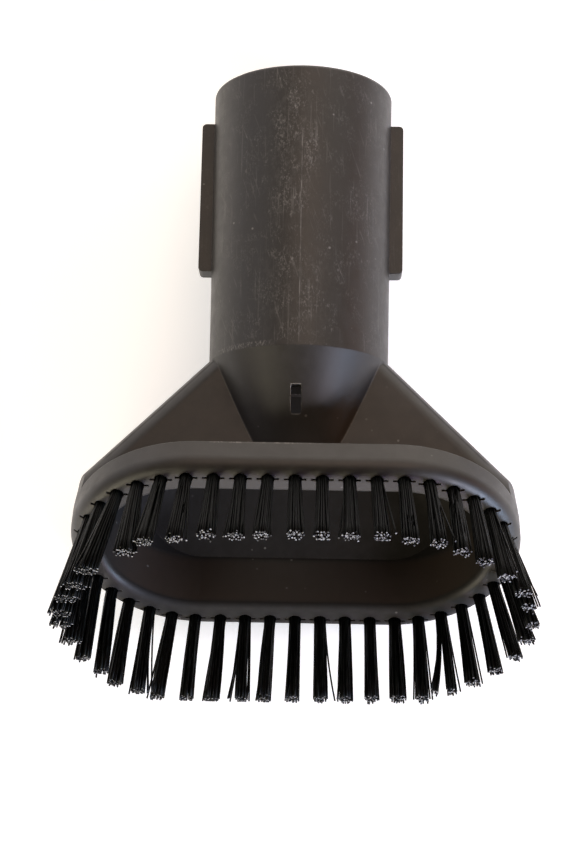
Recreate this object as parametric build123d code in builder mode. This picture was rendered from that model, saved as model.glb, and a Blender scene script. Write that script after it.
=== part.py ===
from build123d import *
import os
from math import atan2, cos, degrees, pi, radians, sin, tan

os.makedirs("parts", exist_ok=True)

# Stiff bristle brush for a vacuum cleaner wand, in millimetres.
# It lies on its back: +X runs along the head, +Z is up, and the neck opens towards +Y.
# The row's origin is the middle of the socket's mouth.

# Neck, the round socket that slides over the wand
bore_r = 17.7
bore_length = 48.0
stop_ledge = 1.2
neck_wall = 2.3
neck_length = 63.8
neck_draft = 0.35
neck_edge_round = 0.8

# Two straight ribs, one on each side of the neck
rib_length = 35.2
rib_setback = 7.2
rib_height = 3.0
rib_width = 5.0
rib_corner_round = 1.0

# Cone below the neck's shoulder, on the front, with the air slot in it
cone_lean = 22.0
cone_length = 27.0
slot_width = 2.2
slot_length = 6.0
slot_drop = 10.9
slot_shift = -0.25
slot_round = 0.5

# Fan, the flared body between the neck and the head
fan_wall = 2.3
fan_side_angle = 46.0
fan_front = 7.9
fan_front_round = 5.5
fan_back_margin = 0.1

# Head: a tilted ring with straight sides and round ends
head_drop = 41.9
head_shift = -0.5
head_tilt = 29.6
head_centre = 21.8
rim_centre = 20.95
mouth_r = 20.3
mouth_draft = 1.5
mouth_edge_round = 1.6
rim_width = 8.1
rim_height = 7.0
rim_round = 3.2
skirt_draft = 5.0
roof_angle = 20.0
roof_reach = 18.0

# Bristle tufts, set in one row around the ring, a little closer in its round ends
tuft_inset = 4.4
side_pitch = 5.7
end_pitch = 5.4
tuft_hole_r = 1.4
tuft_hole_depth = 6.2
tuft_length = 19.6
tuft_tip_r = 1.9
tuft_side_splay = 14.5
tuft_end_splay = 11.0
tuft_clearance = 0.05

# Flat metal anchors that hold the folded tufts in their holes
anchor_length = 4.6
anchor_height = 1.6
anchor_thickness = 0.4
anchor_depth = 5.8
anchor_clearance = 0.05

# Sizes that follow
neck_r = bore_r + neck_wall
neck_mouth_r = neck_r + neck_draft
throat_r = bore_r - stop_ledge
rim_r = mouth_r + rim_width
ring_r = mouth_r + tuft_inset
half_ring = 2 * head_centre + pi * ring_r
tuft_r = tuft_hole_r - tuft_clearance
cut_margin = 1.0

# Steps from tuft to tuft, from the middle of the front row once around the ring
side_steps = [side_pitch] * round(head_centre / side_pitch)
end_length = half_ring - 2 * sum(side_steps)
end_gaps = round(end_length / end_pitch)
end_steps = [end_length / end_gaps] * end_gaps
tuft_steps = 2 * (side_steps + end_steps + side_steps)

# The back of the rim and the back of the neck's mouth touch the floor,
# so the neck leans by the angle of the line between them.
tilt = radians(head_tilt)
rim_back_y = head_shift + rim_r * cos(tilt) + rim_height * sin(tilt)
rim_back_drop = head_drop + rim_r * sin(tilt) - rim_height * cos(tilt)
rest_angle = atan2(rim_back_y - neck_mouth_r, neck_length + rim_back_drop)
fan_back_angle = atan2(rim_back_y - neck_r, rim_back_drop)

# Neck plane: at the shoulder, with z up the neck and y towards its back
neck_axis = Vector(0, cos(rest_angle), -sin(rest_angle))
neck_back = Vector(0, -sin(rest_angle), -cos(rest_angle))
neck_plane = Plane(neck_axis * -neck_length, x_dir=(1, 0, 0), z_dir=neck_axis)

# Front plane: through the neck's axis, with z towards the front and y up the neck
front_plane = Plane(neck_plane.origin, x_dir=(1, 0, 0), z_dir=neck_back * -1)

# Head plane: on the bristle face, with z into the head and y towards its back edge
head_axis = neck_axis * cos(tilt) + neck_back * sin(tilt)
head_back = neck_back * cos(tilt) - neck_axis * sin(tilt)
head_origin = neck_plane.from_local_coords((0, head_shift, -head_drop))
head_plane = Plane(head_origin, x_dir=(1, 0, 0), z_dir=head_axis)


def head_outline(centre, r):
    """Outline with straight sides and round ends of radius r, in the open sketch."""
    SlotCenterToCenter(2 * centre, 2 * r)


def fan_section(drop, inset):
    """Section of the fan at a drop below the shoulder, set in by a wall."""
    side = radians(fan_side_angle)
    half_width = neck_r + drop * tan(side) - inset / cos(side)
    back = neck_r + drop * tan(fan_back_angle) - inset / cos(fan_back_angle)
    front = fan_front - inset
    front_round = fan_front_round - inset
    back_round = neck_r - inset - fan_back_margin
    with BuildSketch(neck_plane.offset(-drop)) as section:
        with BuildLine():
            FilletPolyline(
                (-half_width, -front),
                (half_width, -front),
                (half_width, back),
                (-half_width, back),
                radius=[front_round, front_round, back_round, back_round],
                close=True,
            )
        make_face()
    return section.sketch


def ring_place(position):
    """Plane of a tuft at a distance along the ring, with z out along the bristles."""
    arc_length = pi * ring_r
    straight = 2 * head_centre
    distance = (position + head_centre) % (2 * half_ring)
    if distance < straight:
        x, y = distance - head_centre, -ring_r
    elif distance < straight + arc_length:
        turn = (distance - straight) / ring_r
        x, y = head_centre + ring_r * sin(turn), -ring_r * cos(turn)
    elif distance < 2 * straight + arc_length:
        x, y = head_centre - (distance - straight - arc_length), ring_r
    else:
        turn = (distance - 2 * straight - arc_length) / ring_r
        x, y = -head_centre - ring_r * sin(turn), ring_r * cos(turn)
    out = head_axis * -1
    out += Vector(1, 0, 0) * (tan(radians(tuft_end_splay)) * x / (head_centre + ring_r))
    out += head_back * (tan(radians(tuft_side_splay)) * y / ring_r)
    return Plane(head_plane.from_local_coords((x, y, 0)), x_dir=(1, 0, 0), z_dir=out)


tuft_places = [ring_place(sum(tuft_steps[:number])) for number in range(len(tuft_steps))]

# Fan: flares from the shoulder to the head, and is trimmed to the head's drafted skirt
fan_reach = rim_back_drop + rim_height
skirt_height = head_drop + neck_r
with BuildPart() as fan:
    loft([fan_section(0, 0), fan_section(fan_reach, 0)], ruled=True)
    with BuildSketch(head_plane.offset(rim_height)):
        head_outline(rim_centre, rim_r)
    with BuildSketch(head_plane.offset(rim_height + skirt_height)):
        head_outline(rim_centre, rim_r - skirt_height * tan(radians(skirt_draft)))
    loft(ruled=True, mode=Mode.INTERSECT)

# Rim: round outer edge below, and a low sloping roof that closes it in front of the fan
head_line = Axis(head_origin, head_axis)
roof_rise = roof_reach * tan(radians(roof_angle))
roof_end_r = rim_r - roof_reach
with BuildPart() as rim:
    with BuildSketch(head_plane):
        head_outline(rim_centre, rim_r)
    extrude(amount=rim_height)
    fillet(rim.edges().group_by(head_line)[0], rim_round)
    with BuildSketch(head_plane.offset(rim_height)):
        head_outline(rim_centre, rim_r)
    with BuildSketch(head_plane.offset(rim_height + roof_rise)):
        head_outline(rim_centre, roof_end_r)
    loft(ruled=True)

# Neck with its ribs, and the cone that runs from the shoulder down into the fan
neck_line = Axis(neck_plane.origin, neck_axis)
cone_taper = tan(radians(cone_lean))
with BuildPart() as neck:
    with BuildSketch(front_plane):
        with BuildLine():
            Polyline(
                (0, -cone_length),
                (neck_r - cone_length * cone_taper, -cone_length),
                (neck_r, 0),
                (neck_mouth_r, neck_length),
                (0, neck_length),
                close=True,
            )
        make_face()
    revolve(axis=neck_line)
    fillet(neck.edges().group_by(neck_line)[-1], neck_edge_round)
    with BuildSketch(front_plane):
        with Locations((0, neck_length - rib_setback - rib_length / 2)):
            rib = Rectangle(2 * (neck_r + rib_height), rib_length)
        fillet(rib.vertices(), rib_corner_round)
    extrude(amount=rib_width / 2, both=True)

# Airway: all that is hollow, from the head's mouth to the socket
mouth_taper = tan(radians(mouth_draft))
roof_wall = fan_wall / cos(radians(roof_angle))
cone_wall = fan_wall / cos(radians(cone_lean))
throat_end = (neck_r - cone_wall - throat_r) / cone_taper
with BuildPart() as airway:
    loft([fan_section(fan_wall, fan_wall), fan_section(fan_reach, fan_wall)], ruled=True)
    with BuildSketch(head_plane.offset(-cut_margin)):
        head_outline(rim_centre, rim_r)
    extrude(amount=cut_margin + rim_height - roof_wall)
    with BuildSketch(head_plane.offset(rim_height - roof_wall)):
        head_outline(rim_centre, rim_r)
    with BuildSketch(head_plane.offset(rim_height - roof_wall + roof_rise)):
        head_outline(rim_centre, roof_end_r)
    loft(ruled=True)
    with BuildSketch(head_plane.offset(-cut_margin)):
        head_outline(head_centre, mouth_r + cut_margin * mouth_taper)
    with BuildSketch(head_plane.offset(skirt_height)):
        head_outline(head_centre, mouth_r - skirt_height * mouth_taper)
    loft(ruled=True, mode=Mode.INTERSECT)
    with BuildSketch(front_plane):
        with BuildLine():
            Polyline(
                (0, -cone_length),
                (neck_r - cone_wall - cone_length * cone_taper, -cone_length),
                (throat_r, -throat_end),
                (throat_r, neck_length - bore_length),
                (bore_r, neck_length - bore_length),
                (bore_r, neck_length + cut_margin),
                (0, neck_length + cut_margin),
                close=True,
            )
        make_face()
    revolve(axis=neck_line)

# Body: one moulding, with the air slot, the tuft holes and the anchors' slits
with BuildPart() as body:
    add(fan.part)
    add(rim.part)
    add(neck.part)
    add(airway.part, mode=Mode.SUBTRACT)
    mouth_face = body.faces().sort_by(head_line)[0]
    fillet(mouth_face.inner_wires()[0].edges(), mouth_edge_round)
    with BuildSketch(front_plane):
        with Locations((slot_shift, -slot_drop)):
            slot = Rectangle(slot_width, slot_length)
        fillet(slot.vertices(), slot_round)
    extrude(amount=neck_r, mode=Mode.SUBTRACT)
    with BuildSketch(*[place.offset(cut_margin) for place in tuft_places]):
        Circle(tuft_hole_r)
    extrude(amount=-cut_margin - tuft_hole_depth, mode=Mode.SUBTRACT)
    with BuildSketch(*[place.offset(cut_margin) for place in tuft_places]):
        Rectangle(anchor_length + 2 * anchor_clearance, anchor_thickness + 2 * anchor_clearance)
    extrude(amount=-cut_margin - anchor_depth - anchor_clearance, mode=Mode.SUBTRACT)
body.part.label = "body"
export_step(body.part, "parts/body.step")

# Tufts: each fills its hole, spreads to its cut tips and is folded under its anchor
for number, place in enumerate(tuft_places, start=1):
    with BuildPart() as tuft:
        with BuildSketch(place.offset(tuft_clearance - tuft_hole_depth)):
            Circle(tuft_r)
        extrude(amount=tuft_hole_depth - tuft_clearance)
        with BuildSketch(place):
            Circle(tuft_r)
        with BuildSketch(place.offset(tuft_length)):
            Circle(tuft_tip_r)
        loft()
        with BuildSketch(place.offset(-anchor_depth - anchor_clearance)):
            Rectangle(2 * (tuft_r + cut_margin), anchor_thickness + 2 * anchor_clearance)
        extrude(amount=anchor_height + 2 * anchor_clearance, mode=Mode.SUBTRACT)
    tuft.part.label = f"tuft_{number:02d}"
    export_step(tuft.part, f"parts/{tuft.part.label}.step")

# Anchors: one flat strip across the foot of each tuft, its ends bitten into the ring
with BuildPart() as anchors:
    with BuildSketch(*[place.offset(-anchor_depth) for place in tuft_places]):
        Rectangle(anchor_length, anchor_thickness)
    extrude(amount=anchor_height)
anchors.part.label = "anchors"
export_step(anchors.part, "parts/anchors.step")

print("tufts", len(tuft_places), "body", len(body.part.solids()), "rest angle", round(degrees(rest_angle), 2))
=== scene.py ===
import math
import random

import bpy
from mathutils import Matrix, Vector


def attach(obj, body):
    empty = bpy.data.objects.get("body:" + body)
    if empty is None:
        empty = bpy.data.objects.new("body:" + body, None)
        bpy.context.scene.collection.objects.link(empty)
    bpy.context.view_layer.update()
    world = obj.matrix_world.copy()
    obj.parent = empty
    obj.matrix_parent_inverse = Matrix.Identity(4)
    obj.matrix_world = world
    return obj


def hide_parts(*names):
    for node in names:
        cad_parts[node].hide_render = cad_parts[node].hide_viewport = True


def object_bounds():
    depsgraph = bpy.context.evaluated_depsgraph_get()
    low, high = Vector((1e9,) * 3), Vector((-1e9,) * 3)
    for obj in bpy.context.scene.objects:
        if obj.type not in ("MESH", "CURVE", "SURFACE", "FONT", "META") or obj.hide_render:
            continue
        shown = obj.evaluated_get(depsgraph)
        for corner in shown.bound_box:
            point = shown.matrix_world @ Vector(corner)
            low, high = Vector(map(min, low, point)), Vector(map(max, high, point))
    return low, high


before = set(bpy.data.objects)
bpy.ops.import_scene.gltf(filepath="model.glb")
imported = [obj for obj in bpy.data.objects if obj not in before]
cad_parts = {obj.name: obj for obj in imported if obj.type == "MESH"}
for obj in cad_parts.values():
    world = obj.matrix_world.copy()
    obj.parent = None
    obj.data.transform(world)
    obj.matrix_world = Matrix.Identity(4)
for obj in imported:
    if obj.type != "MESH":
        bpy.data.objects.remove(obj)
cad_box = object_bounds()
random.seed(7)

MM = 0.001

# Sizes of the object that this scene follows, in millimetres
NECK_LENGTH = 63.8
NECK_R = 20.0
CONE_TAPER = math.tan(math.radians(22.0))
FAN_SIDE_TAPER = math.tan(math.radians(46.0))
FAN_BACK_TAPER = 0.1535
FAN_FRONT = 7.9
REST_ANGLE = math.radians(3.6761)
HEAD_TILT = math.radians(29.6)
HEAD_DROP = 41.9
HEAD_SHIFT = -0.5
HEAD_CENTRE = 21.8
RIM_HEIGHT = 7.0
MOUTH_R = 20.3
MOUTH_EDGE_ROUND = 1.6
LINING_DEPTH = 14.4

# Air slot on the cone, mould line on the neck, and how soft the edges look
SLOT_ACROSS = -0.25
SLOT_DROP = 10.9
SLOT_HALF_WIDTH = 1.1
SLOT_HALF_LENGTH = 3.0
SEAM_ACROSS = 0.15
EDGE_ROUND = 0.35

# Ring of tufts
RING_R = 24.7
TUFT_R = 1.35
TUFT_LENGTH = 19.6
TIP_HALF_WIDTH = 1.95
TIP_HALF_THICKNESS = 1.5
SIDE_SPLAY = math.tan(math.radians(14.5))
END_SPLAY = math.tan(math.radians(11.0))
SIDE_PITCH = 5.7
SIDE_GAPS = 4
END_GAPS = 14

# Filaments
FILAMENT_R = 0.20
FILAMENT_SIDES = 6
FILAMENT_RINGS = 7
ROOT_DEPTH = 2.0
HOLE_RINGS = 3

# The solids' own box, which the filaments stay inside
BOX_LOW, BOX_HIGH = [Vector(corner) / MM for corner in cad_box]
BOX_MARGIN = 0.25

# Directions of the neck and of the head, as the object lies
NECK_AXIS = Vector((0, math.cos(REST_ANGLE), -math.sin(REST_ANGLE)))
NECK_BACK = Vector((0, -math.sin(REST_ANGLE), -math.cos(REST_ANGLE)))
SHOULDER = NECK_AXIS * -NECK_LENGTH
HEAD_AXIS = NECK_AXIS * math.cos(HEAD_TILT) + NECK_BACK * math.sin(HEAD_TILT)
HEAD_BACK = NECK_BACK * math.cos(HEAD_TILT) - NECK_AXIS * math.sin(HEAD_TILT)
HEAD_ORIGIN = SHOULDER + NECK_BACK * HEAD_SHIFT - NECK_AXIS * HEAD_DROP

# Scuffed spots on the neck: middle and half width across, middle and half height along,
# in millimetres, and how strong they are
SCUFFS = [
    (-1.7, 1.8, 56.0, 3.8, 1.0),
    (-4.8, 1.4, 50.2, 3.4, 0.85),
    (-4.2, 2.6, 45.5, 3.4, 0.7),
    (2.1, 2.0, 44.5, 6.0, 0.9),
    (-3.5, 1.4, 36.0, 6.5, 0.7),
    (12.0, 1.8, 33.0, 5.0, 0.40),
    (8.6, 1.4, 18.0, 3.4, 0.45),
    (-6.0, 5.0, 12.5, 3.4, 0.35),
]
SCUFF_CORE = 0.3

# Colours of the moulding, with painted shade for the airway and the back lip, painted light for the
# mouth's walls, and one pale colour for wear and painted highlights
BROWN = (0.0208, 0.0192, 0.0166)
LIGHT_BROWN = (0.0240, 0.0213, 0.0184)
MOTTLE = (0.034, 0.030, 0.0275)
# Painted shade for the inside of the neck, the cone, the air slot and the fan
AIRWAY_PAINTED_SHADE = (0.0070, 0.0052, 0.0040)
# Painted light: a lighter warm brown for the walls of the mouth
MOUTH_WALL_LIGHT = (0.052, 0.038, 0.029)
LIP_SHADE = (0.0040, 0.0032, 0.0028)
PALE_WEAR_AND_HIGHLIGHT = (0.24, 0.23, 0.215)

# Colours of the bristles and of their cut ends
NYLON_DARK = (0.0006, 0.0008, 0.0008)
NYLON_LIGHT = (0.0052, 0.0066, 0.0062)
CUT_DARK = (0.012, 0.013, 0.014)
CUT_LIGHT = (0.29, 0.295, 0.30)

# How far each kind of mark, wear or painted highlight, turns the colour to the pale one
FLECK_SHARE = 0.40
HAIRLINE_SHARE = 0.24
HAZE_SHARE = 0.13
DUST_SHARE = 0.60
SEAM_SHARE = 0.40
FLASH_HIGHLIGHT_SHARE = 0.8
CREASE_HIGHLIGHT_SHARE = 0.16
WORN_AND_HIGHLIGHT_SHARE = 0.5

# How far each tuft's tips lie from where an even splay would put them: to the right,
# and towards the head's back edge, in millimetres
LEANS = [
    (0.3, -0.2), (-0.3, -0.1), (-0.6, 0.0), (-0.7, 0.0), (-1.0, 0.6), (-1.0, 0.7),
    (-1.8, 0.6), (-1.7, 0.3), (-1.1, 0.4), (-0.1, 0.5), (-0.1, -0.8), (0.6, -0.7),
    (0.3, -1.8), (0.3, -1.7), (-0.6, -2.4), (-1.0, -2.4), (-1.2, -2.7), (-1.5, -1.4),
    (-1.2, -2.7), (-0.9, -1.9), (-0.8, -1.4), (-0.2, -1.1), (-0.3, -1.4), (-0.5, -0.4),
    (0.4, -0.1), (0.1, 0.4), (0.6, -0.1), (-0.4, 1.1), (1.2, 0.9), (0.9, 1.3),
    (2.4, 0.7), (1.9, 1.3), (1.6, 1.0), (0.4, 1.8), (0.1, 3.8), (0.5, 4.4),
    (-0.5, 5.3), (-1.6, 4.9), (1.9, 2.1), (0.2, 1.5), (0.7, 1.4), (1.1, 0.2),
    (0.7, 0.3), (-0.3, 0.0),
]

# Tufts whose tips have fanned out wide, and how much wider
WIDE = {33: 1.3, 34: 1.45, 35: 1.5, 36: 1.5, 37: 1.55, 38: 1.45, 39: 1.25}

# Tufts that have parted: how many filaments, and how far they have moved to the right
PARTED = {17: (12, -2.4), 22: (1, 1.6), 25: (4, -1.2), 29: (3, 1.0)}

# How loosely the filaments lie, in millimetres where it isn't a share
LOOSENESS = (0.84, 1.06)
TIP_SPREAD = (0.18, 0.15)
STRAY_CHANCE = 0.03
STRAY_SPREAD = (0.8, 0.5)
LENGTH_SPREAD = 0.25
BOW_SPREAD = 0.10
PARTING_RANGE = (0.85, 1.1)
SPLAY_CURVE = 1.12
PARTING_CURVE = 2
STIFF_SHARE = 0.15


class Finish:
    """A node material on a Principled shader, with short calls for the nodes it needs."""

    def __init__(self, name):
        self.material = bpy.data.materials.new(name)
        self.material.use_nodes = True
        self.tree = self.material.node_tree
        self.shader = self.tree.nodes["Principled BSDF"]
        coords = self.tree.nodes.new("ShaderNodeTexCoord")
        self.place = self.vector("SCALE", coords.outputs["Object"], scale=1 / MM)

    def join(self, value, socket):
        if isinstance(value, bpy.types.NodeSocket):
            self.tree.links.new(value, socket)
        else:
            socket.default_value = value

    def set(self, **values):
        """Colour, roughness and normal, each from its own nodes."""
        for name, value in values.items():
            self.join(value, self.shader.inputs[name.replace("_", " ")])

    def fix(self, name, value):
        """A constant on one of the shader's own sockets."""
        self.shader.inputs[name].default_value = value

    def vector(self, operation, a, b=(0, 0, 0), scale=1.0):
        node = self.tree.nodes.new("ShaderNodeVectorMath")
        node.operation = operation
        self.join(a, node.inputs[0])
        if operation == "SCALE":
            self.join(scale, node.inputs["Scale"])
        else:
            self.join(b, node.inputs[1])
        return node.outputs["Value" if operation in ("DOT_PRODUCT", "LENGTH") else "Vector"]

    def math(self, operation, a, b=0.0, clamp=False):
        node = self.tree.nodes.new("ShaderNodeMath")
        node.operation = operation
        node.use_clamp = clamp
        self.join(a, node.inputs[0])
        self.join(b, node.inputs[1])
        return node.outputs[0]

    def plus(self, a, b, clamp=False):
        return self.math("ADD", a, b, clamp)

    def minus(self, a, b):
        return self.math("SUBTRACT", a, b)

    def absolute(self, value):
        return self.math("ABSOLUTE", value)

    def times(self, first, *others):
        """Product of two or more values."""
        for other in others:
            first = self.math("MULTIPLY", first, other)
        return first

    def most(self, first, *others):
        """Largest of two or more values."""
        for other in others:
            first = self.math("MAXIMUM", first, other)
        return first

    def step(self, value, low, high, to_low=0.0, to_high=1.0):
        """Smooth step of a value from low to high."""
        node = self.tree.nodes.new("ShaderNodeMapRange")
        node.interpolation_type = "SMOOTHSTEP"
        self.join(value, node.inputs["Value"])
        node.inputs["From Min"].default_value = low
        node.inputs["From Max"].default_value = high
        node.inputs["To Min"].default_value = to_low
        node.inputs["To Max"].default_value = to_high
        return node.outputs["Result"]

    def band(self, value, centre, half, soft):
        """1 within half of centre, fading to 0 over soft."""
        return self.step(self.absolute(self.minus(value, centre)), half + soft, half)

    def along(self, direction, start=0.0):
        """Distance in millimetres along a direction."""
        return self.plus(self.vector("DOT_PRODUCT", self.place, tuple(direction)), start)

    def combine(self, x, y, z):
        node = self.tree.nodes.new("ShaderNodeCombineXYZ")
        for value, socket in zip((x, y, z), node.inputs):
            self.join(value, socket)
        return node.outputs[0]

    def noise(self, place, scale, detail=2.0, roughness=0.5):
        node = self.tree.nodes.new("ShaderNodeTexNoise")
        self.join(place, node.inputs["Vector"])
        node.inputs["Scale"].default_value = scale
        node.inputs["Detail"].default_value = detail
        node.inputs["Roughness"].default_value = roughness
        return node.outputs["Fac"]

    def cells(self, place, scale):
        """(distance to the nearest random point, random value of that point)."""
        node = self.tree.nodes.new("ShaderNodeTexVoronoi")
        self.join(place, node.inputs["Vector"])
        node.inputs["Scale"].default_value = scale
        return node.outputs["Distance"], node.outputs["Color"]

    def mix(self, share, a, b):
        """Colour that goes from a to b as the share goes from 0 to 1."""
        node = self.tree.nodes.new("ShaderNodeMix")
        node.data_type = "RGBA"
        node.clamp_factor = True
        self.join(share, node.inputs["Factor"])
        for value, name in ((a, "A"), (b, "B")):
            socket = [s for s in node.inputs if s.name == name and s.type == "RGBA"][0]
            if isinstance(value, bpy.types.NodeSocket):
                self.tree.links.new(value, socket)
            else:
                socket.default_value = (*value, 1.0)
        return [s for s in node.outputs if s.type == "RGBA"][0]

    def bump(self, height, depth, under=None):
        """Surface normal from a height of 0 to 1 that is depth millimetres tall."""
        node = self.tree.nodes.new("ShaderNodeBump")
        node.inputs["Strength"].default_value = 1.0
        node.inputs["Distance"].default_value = depth * MM
        self.join(height, node.inputs["Height"])
        if under is not None:
            self.join(under, node.inputs["Normal"])
        return node.outputs["Normal"]


class BodyFinish(Finish):
    """The moulding's finish, which knows where it is on the neck and on the head."""

    def __init__(self, name):
        super().__init__(name)
        self.across = self.along((1, 0, 0))
        self.up = self.along(NECK_AXIS, NECK_LENGTH)
        self.back = self.along(NECK_BACK)
        self.into = self.along(HEAD_AXIS, -HEAD_ORIGIN.dot(HEAD_AXIS))
        self.aside = self.along(HEAD_BACK, -HEAD_ORIGIN.dot(HEAD_BACK))
        self.front = self.step(self.back, 2.0, -8.0)
        self.on_neck = self.times(self.front, self.step(self.up, -0.6, 0.4))
        # How far below the shoulder, and how far outside the neck or the cone
        self.drop = self.most(self.times(self.up, -1.0), 0.0)
        from_axis = self.vector("LENGTH", self.combine(self.across, self.back, 0.0))
        self.outside = self.minus(self.plus(from_axis, self.times(self.drop, CONE_TAPER)), NECK_R)

    def rounded_edges(self):
        """(normal with every edge softly rounded, where those edges are)."""
        soft = self.tree.nodes.new("ShaderNodeBevel")
        soft.samples = 6
        soft.inputs["Radius"].default_value = EDGE_ROUND * MM
        geometry = self.tree.nodes.new("ShaderNodeNewGeometry")
        turn = self.vector("DOT_PRODUCT", soft.outputs["Normal"], geometry.outputs["Normal"])
        return soft.outputs["Normal"], self.step(turn, 0.995, 0.90)

    def painted_airway_shade(self):
        """Where shade is painted inside the neck's bore, the cone, the air slot and the fan."""
        in_round = self.step(self.outside, -1.0, -1.5)
        in_slot = self.times(
            self.band(self.across, SLOT_ACROSS, SLOT_HALF_WIDTH + 0.15, 0.1),
            self.band(self.up, -SLOT_DROP, SLOT_HALF_LENGTH + 0.2, 0.1),
            self.step(self.outside, -0.10, -0.35),
            self.step(self.back, -6.0, -8.0),
        )
        sideways = self.minus(self.absolute(self.across), self.times(self.drop, FAN_SIDE_TAPER))
        backward = self.minus(self.back, self.times(self.drop, FAN_BACK_TAPER))
        in_fan = self.times(
            self.step(sideways, NECK_R - 1.3, NECK_R - 2.2),
            self.step(backward, NECK_R - 0.9, NECK_R - 1.5),
            self.step(self.back, 0.8 - FAN_FRONT, 1.6 - FAN_FRONT),
            self.step(self.into, LINING_DEPTH - 1.6, LINING_DEPTH),
            self.step(self.up, 0.5, -0.5),
        )
        return self.most(in_round, in_fan, in_slot)

    def painted_mouth_wall_light(self):
        """Where light is painted on the walls of the mouth as a lighter warm brown, most on the
        side away from the neck's front.
        """
        beyond = self.most(self.minus(self.absolute(self.across), HEAD_CENTRE), 0.0)
        from_ring = self.vector("LENGTH", self.combine(beyond, self.aside, 0.0))
        edge_r = MOUTH_R + MOUTH_EDGE_ROUND
        return self.times(
            self.step(from_ring, edge_r + 0.1, edge_r - 0.6),
            self.step(self.into, 1.2, 2.4),
            self.step(self.into, LINING_DEPTH, LINING_DEPTH - 2.4),
            self.step(self.aside, 2.0, 17.0),
        )

    def back_lip(self):
        """Lip of the ring's back side, in the shade of its bristles."""
        return self.times(self.step(self.aside, 9.0, 17.0), self.step(self.into, 1.9, 1.2))

    def scuffing(self):
        """(how closely the flecks lie, how strong the haze between them is)."""
        across, up = self.across, self.up
        high = self.times(self.band(across, -2.6, 2.2, 4.0), self.band(up, 44.0, 12.0, 10.0))
        low = self.times(self.band(across, -1.5, 4.0, 8.0), self.band(up, 12.0, 4.0, 12.0))
        dense = self.most(self.times(high, 0.6), self.times(low, 0.45))
        shoulder = self.times(self.band(up, 0.5, 0.25, 0.7), self.band(across, -12.0, 4.0, 4.0))
        rubbed = shoulder
        for x, half_x, y, half_y, strength in SCUFFS:
            spot = self.times(
                self.band(across, x, half_x * SCUFF_CORE, half_x),
                self.band(up, y, half_y * SCUFF_CORE, half_y),
                strength,
            )
            rubbed = self.most(rubbed, spot)
        cloud = self.step(self.noise(self.place, 0.22, 3.0, 0.6), 0.42, 0.60)
        everywhere = self.times(self.plus(self.times(dense, 0.8), 0.26), cloud)
        spread = self.times(self.most(everywhere, rubbed), self.on_neck)
        return spread, self.times(self.most(dense, rubbed), self.on_neck)

    def drawn_out(self, share):
        """Place on the front, drawn out along the neck."""
        return self.combine(self.across, self.times(self.up, share), self.back)

    def fleck_marks(self, spread):
        """Pale flecks, the fine ones close together and the coarse ones few."""
        fine = self.step(self.noise(self.drawn_out(0.6), 2.4, 3.0, 0.7), 0.51, 0.66)
        coarse = self.step(self.noise(self.drawn_out(0.55), 1.1, 2.0, 0.8), 0.60, 0.70)
        return self.plus(self.times(fine, spread), self.times(coarse, spread, 1.2), clamp=True)

    def haze_marks(self, strength):
        """Faint haze between the flecks."""
        haze = self.noise(self.drawn_out(0.5), 0.8, 4.0, 0.75)
        return self.times(self.step(haze, 0.44, 0.70), strength)

    def hairline_marks(self, spread):
        """Long straight hairlines that run with the neck, and a few that lean."""
        run = self.combine(self.times(self.across, 1.7), self.times(self.up, 0.05), 3.0)
        straight = self.step(self.noise(run, 1.0, 2.0, 0.7), 0.60, 0.68)
        slant = self.plus(self.times(self.across, 1.3), self.times(self.up, 0.45))
        lean = self.combine(slant, self.times(self.up, 0.09), 9.0)
        leaning = self.step(self.noise(lean, 1.0, 2.0, 0.7), 0.63, 0.69)
        strength = self.plus(self.times(spread, 0.8), self.times(self.on_neck, 0.30))
        return self.times(self.most(straight, leaning), strength)

    def dust_marks(self):
        """Dust specks, a few here and there."""
        near, pick = self.cells(self.place, 0.42)
        return self.times(
            self.step(near, 0.15, 0.07),
            self.step(pick, 0.66, 0.78),
            self.step(self.noise(self.place, 0.12, 1.0), 0.40, 0.58),
        )

    def seam(self):
        """Mould line down the middle of the neck."""
        return self.times(
            self.band(self.across, SEAM_ACROSS, 0.05, 0.14),
            self.band(self.up, 25.0, 22.0, 3.0),
            self.front,
        )

    def flash_highlights(self):
        """Thin flash on the left and the top of the air slot, painted pale as its highlight."""
        left = SLOT_ACROSS - SLOT_HALF_WIDTH - 0.01
        top = SLOT_HALF_LENGTH + 0.05 - SLOT_DROP
        beside = self.times(
            self.band(self.across, left, 0.05, 0.10),
            self.band(self.up, 0.3 - SLOT_DROP, 2.5, 0.5),
        )
        above = self.times(
            self.band(self.up, top, 0.04, 0.12),
            self.band(self.across, SLOT_ACROSS - 0.05, 0.9, 0.4),
        )
        on_cone = self.times(self.step(self.outside, -0.3, -0.1), self.step(self.back, -8.0, -10.0))
        return self.times(self.most(beside, above), on_cone)

    def crease_highlights(self):
        """Painted highlight lines along the creases where the cone meets the fan."""
        return self.times(
            self.band(self.outside, 0.0, 0.10, 0.22),
            self.band(self.back, -FAN_FRONT, 0.12, 0.22),
            self.step(self.up, 0.0, -1.0),
        )

    def worn_and_highlit_edges(self, edge):
        """Edges painted pale in broken lengths, partly as rubbed wear and partly as highlights on
        their small roundings, most on the ridge over the bristles.
        """
        ridge = self.times(
            self.band(self.into, RIM_HEIGHT - 0.15, 0.12, 0.15),
            self.band(self.across, -6.5, 9.0, 4.0),
            self.step(self.aside, -18.0, -20.0),
        )
        broken = self.step(self.noise(self.place, 0.9, 3.0, 0.7), 0.48, 0.66)
        return self.times(self.most(self.times(edge, 0.5), ridge), self.plus(broken, 0.25))


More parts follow.
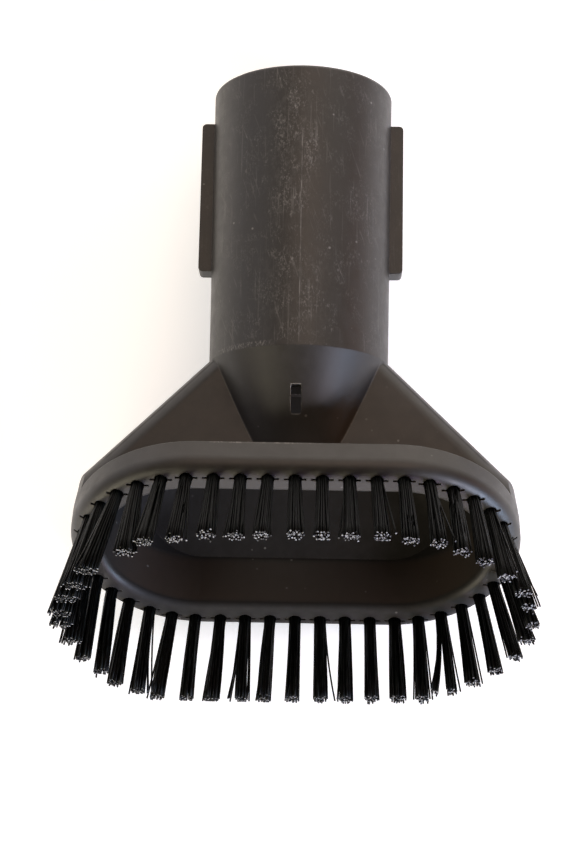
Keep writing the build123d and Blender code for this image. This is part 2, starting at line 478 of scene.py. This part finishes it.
def moulded_plastic():
    """Dark brown-grey satin plastic, with scuffs on the neck, worn edges, painted highlights, and
    painted shade and light in and below the mouth.
    """
    f = BodyFinish("moulded_plastic")
    soft_normal, edge = f.rounded_edges()
    # Where shade is painted: in the airway, and on the back lip under its bristles
    airway_shade_mask = f.painted_airway_shade()
    lip = f.back_lip()

    # Colour: two browns in slow patches with a finer mottle, then painted shade in the airway,
    # painted light on the mouth's walls and painted shade on the back lip
    patches = f.step(f.noise(f.place, 0.035, 3.0), 0.35, 0.65)
    mottle = f.step(f.noise(f.place, 0.9, 3.0, 0.6), 0.4, 0.9, 0.0, 0.35)
    colour = f.mix(patches, BROWN, LIGHT_BROWN)
    colour = f.mix(mottle, colour, MOTTLE)
    colour = f.mix(f.times(airway_shade_mask, 0.92), colour, AIRWAY_PAINTED_SHADE)
    colour = f.mix(f.times(f.painted_mouth_wall_light(), 0.8), colour, MOUTH_WALL_LIGHT)
    colour = f.mix(f.times(lip, 0.8), colour, LIP_SHADE)

    # Pale marks over it: wear, dust and the mould line, and painted highlights on the slot's flash,
    # the creases and the edges
    spread, hazy = f.scuffing()
    flecks = f.fleck_marks(spread)
    hairlines = f.hairline_marks(spread)
    seam = f.seam()
    seam_strength = f.step(f.noise(f.place, 0.25, 3.0, 0.6), 0.42, 0.62, 0.15, 1.0)
    # Painted highlights on the slot's flash and along the creases
    flash_and_crease_highlights = f.most(f.times(f.flash_highlights(), FLASH_HIGHLIGHT_SHARE), f.times(f.crease_highlights(), CREASE_HIGHLIGHT_SHARE))
    marks = f.plus(f.times(flecks, FLECK_SHARE), f.times(hairlines, HAIRLINE_SHARE))
    marks = f.plus(marks, f.times(f.haze_marks(hazy), HAZE_SHARE))
    marks = f.plus(marks, f.times(f.dust_marks(), DUST_SHARE))
    marks = f.plus(marks, f.times(seam, seam_strength, SEAM_SHARE))
    marks = f.plus(marks, flash_and_crease_highlights)
    # Pale edges: partly rubbed wear, partly painted highlight
    marks = f.plus(marks, f.times(f.worn_and_highlit_edges(edge), WORN_AND_HIGHLIGHT_SHARE), clamp=True)
    colour = f.mix(marks, colour, PALE_WEAR_AND_HIGHLIGHT)

    # Sheen: satin, duller where rubbed, inside and in the shade
    rough = f.step(f.noise(f.place, 0.35, 3.0, 0.6), 0.3, 0.7, 0.40, 0.48)
    rough = f.plus(rough, f.times(marks, 0.22))
    dull = f.most(airway_shade_mask, f.times(lip, 0.7))
    rough = f.plus(rough, f.times(dull, 0.45), clamp=True)

    # Fine grain, with the scratches cut in and the mould line raised
    normal = f.bump(f.noise(f.place, 5.0, 2.0, 0.6), 0.012, soft_normal)
    normal = f.bump(f.minus(1.0, f.most(flecks, hairlines)), 0.015, normal)
    normal = f.bump(seam, 0.02, normal)
    f.set(Base_Color=colour, Roughness=rough, Normal=normal)
    f.fix("Specular IOR Level", 0.5)
    return f.material


def nylon():
    """Black filament with a soft gloss and faint lengthwise shading."""
    f = Finish("black_nylon")
    lengthwise = f.combine(
        f.times(f.along(HEAD_AXIS), 0.03), f.along((1, 0, 0)), f.along(HEAD_BACK)
    )
    fibre = f.noise(lengthwise, 2.2, 1.0)
    f.set(
        Base_Color=f.mix(f.step(fibre, 0.46, 0.64), NYLON_DARK, NYLON_LIGHT),
        Roughness=f.step(fibre, 0.3, 0.7, 0.34, 0.42),
        Normal=f.bump(fibre, 0.004),
    )
    f.fix("Specular IOR Level", 0.10)
    return f.material


def cut_nylon():
    """Pale matte ends where the filaments were cut."""
    f = Finish("cut_nylon")
    shade = f.noise(f.place, 1.9, 1.0)
    f.set(
        Base_Color=f.mix(f.step(shade, 0.42, 0.62), CUT_DARK, CUT_LIGHT),
        Roughness=f.step(shade, 0.2, 0.8, 0.45, 0.6),
        Normal=f.bump(shade, 0.02),
    )
    return f.material


def strip_metal():
    """Plain rolled strip of the sealed anchors."""
    f = Finish("strip_metal")
    lengthwise = f.combine(
        f.times(f.along((1, 0, 0)), 0.2), f.along((0, 1, 0)), f.along((0, 0, 1))
    )
    rolled = f.noise(lengthwise, 4.0, 2.0)
    f.set(
        Base_Color=f.mix(rolled, (0.42, 0.41, 0.39), (0.50, 0.49, 0.47)),
        Roughness=f.step(rolled, 0.3, 0.7, 0.28, 0.42),
        Normal=f.bump(rolled, 0.01),
    )
    f.fix("Metallic", 1.0)
    return f.material


def pale_floor():
    """Plain white studio floor with a faint glow, so that it shows no dark corner."""
    f = Finish("pale_floor")
    f.set(Base_Color=f.mix(f.noise(f.place, 0.01, 2.0), (0.90, 0.90, 0.90), (0.91, 0.91, 0.91)))
    f.fix("Roughness", 0.9)
    f.fix("Specular IOR Level", 0.1)
    f.fix("Emission Color", (1.0, 1.0, 1.0, 1.0))
    f.fix("Emission Strength", 0.45)
    return f.material


def finish_node(name, material):
    """Gives one of the part's own pieces its material."""
    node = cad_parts[name]
    node.data.materials.clear()
    node.data.materials.append(material)


def ring_place(position):
    """Matrix of a tuft at a distance along the ring: z runs out along its bristles."""
    straight = 2 * HEAD_CENTRE
    arc = math.pi * RING_R
    length = 2 * straight + 2 * arc
    distance = (position + HEAD_CENTRE) % length
    if distance < straight:
        x, y = distance - HEAD_CENTRE, -RING_R
    elif distance < straight + arc:
        turn = (distance - straight) / RING_R
        x, y = HEAD_CENTRE + RING_R * math.sin(turn), -RING_R * math.cos(turn)
    elif distance < 2 * straight + arc:
        x, y = HEAD_CENTRE - (distance - straight - arc), RING_R
    else:
        turn = (distance - 2 * straight - arc) / RING_R
        x, y = -HEAD_CENTRE - RING_R * math.sin(turn), RING_R * math.cos(turn)
    end_lean = Vector((END_SPLAY * x / (HEAD_CENTRE + RING_R), 0, 0))
    out = -HEAD_AXIS + end_lean + HEAD_BACK * (SIDE_SPLAY * y / RING_R)
    out.normalize()
    side = Vector((1, 0, 0))
    side = (side - out * side.dot(out)).normalized()
    origin = HEAD_ORIGIN + Vector((x, 0, 0)) + HEAD_BACK * y
    turn = Matrix((side, out.cross(side), out)).transposed().to_4x4()
    return Matrix.Translation(origin) @ turn


def tuft_roots():
    """Filament centres in the hole: a close-packed disk, from left to right."""
    pitch = (TUFT_R - FILAMENT_R) / HOLE_RINGS
    roots = []
    for row in range(-HOLE_RINGS, HOLE_RINGS + 1):
        for column in range(-HOLE_RINGS, HOLE_RINGS + 1):
            if abs(row + column) <= HOLE_RINGS:
                roots.append((pitch * (column + row / 2), pitch * row * math.sqrt(3) / 2))
    return sorted(roots)


def filament_tip(start, number, slope):
    """Where a filament's tip lies across its tuft, and how long the filament is.

    All tips were trimmed flat, so a filament on the outer side of a splayed tuft is longer.
    """
    widen = (TIP_HALF_WIDTH - FILAMENT_R) / (TUFT_R - FILAMENT_R)
    deepen = (TIP_HALF_THICKNESS - FILAMENT_R) / (TUFT_R - FILAMENT_R)
    loose = random.uniform(*LOOSENESS)
    tip = Vector((start.x * widen * loose * WIDE.get(number, 1.0), start.y * deepen * loose))
    tip += Vector([random.gauss(0, spread) for spread in TIP_SPREAD])
    trim = tip.dot(slope)
    if random.random() < STRAY_CHANCE:
        tip += Vector([random.gauss(0, spread) for spread in STRAY_SPREAD])
    across, back = LEANS[number - 1]
    tip += Vector((across, -back))
    return tip, TUFT_LENGTH - trim + random.gauss(0.0, LENGTH_SPREAD)


def filament_line(start, number, order, slope, place):
    """Centres of a filament's rings, from its hole to its cut tip."""
    tip, length = filament_tip(start, number, slope)
    bow = Vector((random.gauss(0, BOW_SPREAD), random.gauss(0, BOW_SPREAD)))
    parted, shift = PARTED.get(number, (0, 0.0))
    if (shift < 0 and order >= parted) or (shift > 0 and order < len(ROOTS) - parted):
        shift = 0.0
    bend = Vector((shift * random.uniform(*PARTING_RANGE), 0.0))
    centres = []
    for ring in range(FILAMENT_RINGS):
        t = ring / (FILAMENT_RINGS - 1)
        along = -ROOT_DEPTH + (length + ROOT_DEPTH) * t
        share = max(along / length, 0.0)
        flat = start.lerp(tip, share ** SPLAY_CURVE)
        flat += bow * (4 * share * (1 - share)) + bend * share ** PARTING_CURVE
        centres.append(place @ Vector((flat.x, flat.y, along)))
    return kept_in_box(centres)


def kept_in_box(centres):
    """The same line, bent back where its tip would pass the object's own outline."""
    tip = centres[-1]
    over = Vector([
        max(low + BOX_MARGIN - place, 0) + min(high - BOX_MARGIN - place, 0)
        for low, high, place in zip(BOX_LOW, BOX_HIGH, tip)
    ])
    bent = []
    for ring, centre in enumerate(centres):
        t = ring / (FILAMENT_RINGS - 1)
        bent.append(centre + over * max(t * (1 + STIFF_SHARE) - STIFF_SHARE, 0))
    return bent


def filament_mesh(centres, vertices, faces, cut):
    """Adds a six-sided filament along its centres, closed at both ends."""
    base = len(vertices)
    for ring, centre in enumerate(centres):
        before = centres[max(ring - 1, 0)]
        after = centres[min(ring + 1, FILAMENT_RINGS - 1)]
        axis = (after - before).normalized()
        side = axis.orthogonal().normalized()
        other = axis.cross(side)
        for k in range(FILAMENT_SIDES):
            angle = 2 * math.pi * k / FILAMENT_SIDES
            rim = (side * math.cos(angle) + other * math.sin(angle)) * FILAMENT_R
            vertices.append((centre + rim) * MM)
    for ring in range(FILAMENT_RINGS - 1):
        for k in range(FILAMENT_SIDES):
            a = base + ring * FILAMENT_SIDES + k
            b = base + ring * FILAMENT_SIDES + (k + 1) % FILAMENT_SIDES
            faces.append((a, b, b + FILAMENT_SIDES, a + FILAMENT_SIDES))
            cut.append(False)
    last = base + (FILAMENT_RINGS - 1) * FILAMENT_SIDES
    faces.append(tuple(last + k for k in range(FILAMENT_SIDES)))
    cut.append(True)
    faces.append(tuple(base + k for k in reversed(range(FILAMENT_SIDES))))
    cut.append(False)


def make_tuft(number, place):
    """One bundle of separate filaments, set in its hole and spreading to its cut tips."""
    vertices, faces, cut = [], [], []
    side, other, out = [-HEAD_AXIS.dot(place.col[axis].to_3d()) for axis in range(3)]
    slope = Vector((side / out, other / out))
    for order, root in enumerate(ROOTS):
        centres = filament_line(Vector(root), number, order, slope, place)
        filament_mesh(centres, vertices, faces, cut)
    mesh = bpy.data.meshes.new(f"bristles_{number:02d}")
    mesh.from_pydata(vertices, [], faces)
    mesh.materials.append(NYLON)
    mesh.materials.append(CUT_NYLON)
    for polygon, is_cut in zip(mesh.polygons, cut):
        polygon.material_index = 1 if is_cut else 0
        polygon.use_smooth = len(polygon.vertices) == 4
    mesh.update()
    piece = bpy.data.objects.new(f"bristles_{number:02d}", mesh)
    bpy.context.scene.collection.objects.link(piece)
    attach(piece, "root")
    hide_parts(f"tuft_{number:02d}")


NYLON = nylon()
CUT_NYLON = cut_nylon()
finish_node("body", moulded_plastic())
finish_node("anchors", strip_metal())

# Tufts, from the middle of the front row around the ring
ROOTS = tuft_roots()
end_pitch = (2 * HEAD_CENTRE + math.pi * RING_R - 2 * SIDE_GAPS * SIDE_PITCH) / END_GAPS
half_steps = [SIDE_PITCH] * SIDE_GAPS + [end_pitch] * END_GAPS + [SIDE_PITCH] * SIDE_GAPS
for index in range(len(LEANS)):
    make_tuft(index + 1, ring_place(sum((half_steps * 2)[:index])))

# Floor, just clear of the object's lowest point
FLOOR_GAP = 0.00002
bpy.ops.mesh.primitive_grid_add(x_subdivisions=4, y_subdivisions=4, size=8)
floor = bpy.context.object
floor.name = "floor"
floor.location = (0, 0, cad_box[0][2] - FLOOR_GAP)
floor.data.materials.append(pale_floor())

LIGHT_AIM = Vector((0, -0.07, 0))
LIGHT_DISTANCE = 0.9
LIGHT_WATTS = 10.0


def soft_light(name, azimuth, elevation, colour, size):
    """A square soft light at an angle from +X towards +Y, as strong as its colour is bright."""
    light = bpy.data.lights.new(name, "AREA")
    light.size = size
    light.energy = LIGHT_WATTS * max(colour)
    light.color = [share / max(colour) for share in colour]
    lamp = bpy.data.objects.new(name, light)
    turn, rise = math.radians(azimuth), math.radians(elevation)
    flat = math.cos(rise)
    away = Vector((flat * math.cos(turn), flat * math.sin(turn), math.sin(rise)))
    lamp.location = LIGHT_AIM + away * LIGHT_DISTANCE
    lamp.rotation_euler = away.to_track_quat("Z", "Y").to_euler()
    bpy.context.scene.collection.objects.link(lamp)


# A small window at the lower right with a cool glow under it, a dim light low in front,
# a warm fill at the front left, and weak light from the rest of the room
soft_light("window", -46, 28, (0.38, 0.34, 0.38), 0.15)
soft_light("window_low", -40, 15, (0.33, 0.47, 0.68), 0.42)
soft_light("low_front", -74, 7, (0.08, 0.055, 0.10), 0.22)
soft_light("fill_left_front", -122, 20, (0.75, 0.68, 0.51), 0.80)
soft_light("room_right", 2, 14, (0.08, 0.03, 0.01), 0.60)
soft_light("room_left", 195, 13, (0.037, 0.033, 0.039), 0.80)
soft_light("room_back_left", 150, 25, (0.154, 0.148, 0.159), 0.80)
soft_light("room_back", 105, 17, (0.36, 0.325, 0.30), 0.90)
soft_light("room_back_right", 62, 20, (0.41, 0.375, 0.335), 0.80)
soft_light("overhead", 65, 70, (0.205, 0.156, 0.125), 0.60)

# Nothing comes from the surroundings: the lights and the floor light the object
world = bpy.data.worlds.new("studio")
world.use_nodes = True
world.node_tree.nodes["Background"].inputs["Color"].default_value = (1.0, 1.0, 1.0, 1.0)
world.node_tree.nodes["Background"].inputs["Strength"].default_value = 0.0
bpy.context.scene.world = world
bpy.context.scene.view_settings.view_transform = "Standard"

# Camera: the photograph's view, from above the bristle side
camera_data = bpy.data.cameras.new("camera")
camera_data.lens = 75.93
camera_data.sensor_width = 36.0
camera_data.clip_start = 0.01
camera = bpy.data.objects.new("camera", camera_data)
camera.location = (0.005104, -0.138982, 0.405827)
camera.rotation_euler = (0.149890, 0.014554, 0.018526)
bpy.context.scene.collection.objects.link(camera)
bpy.context.scene.camera = camera
